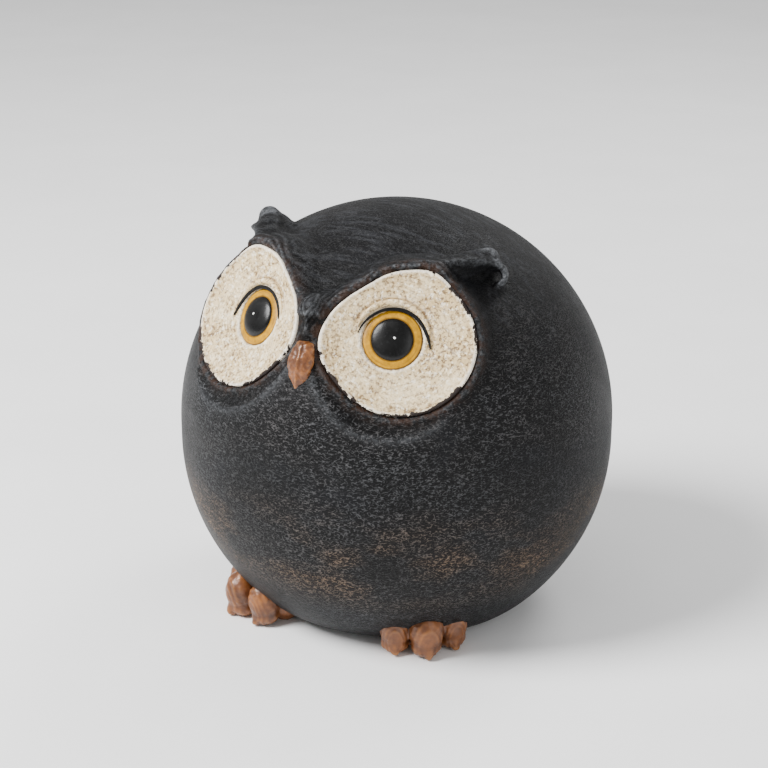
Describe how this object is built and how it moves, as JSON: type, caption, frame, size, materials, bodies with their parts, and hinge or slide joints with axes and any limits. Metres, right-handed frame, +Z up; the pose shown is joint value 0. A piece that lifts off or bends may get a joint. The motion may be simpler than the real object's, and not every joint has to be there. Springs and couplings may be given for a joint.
{
  "type": "owl figurine",
  "caption": "Round hand-painted owl figurine with dished face discs, ringed eyes, ear tufts, small beak and three-toed feet, on a flat base.",
  "frame": {"origin": "the point on the standing surface straight below the round body's axis", "axes": "+Z up, the owl faces -Y, +X is the owl's own left side"},
  "size_m": [0.24, 0.24, 0.2275],
  "materials": {
    "charcoal_paint": "satin charcoal paint, dry-brushed with grey and tan, on cast polyresin",
    "cream_paint": "matt cream paint with a brown wash on cast polyresin",
    "ochre_paint": "satin ochre paint on cast polyresin",
    "gloss_black": "gloss black lacquer on a cast dome",
    "copper_paint": "copper-brown paint with bright rubbed highlights on cast polyresin",
    "plug_rubber": "plain matt rubber",
    "pad_felt": "needled felt"
  },
  "bodies": {
    "root": {"body_shell": "charcoal_paint", "base_plate": "charcoal_paint", "vent_plug": "plug_rubber", "felt_pads": "pad_felt", "face_disc_left": "cream_paint", "face_disc_right": "cream_paint", "iris_left": "ochre_paint", "iris_right": "ochre_paint", "pupil_left": "gloss_black", "pupil_right": "gloss_black", "eyelid_left": "cream_paint", "eyelid_right": "cream_paint", "brow_left": "charcoal_paint", "brow_right": "charcoal_paint", "beak": "copper_paint", "foot_left": "copper_paint", "foot_right": "copper_paint"}
  },
  "joints": []
}
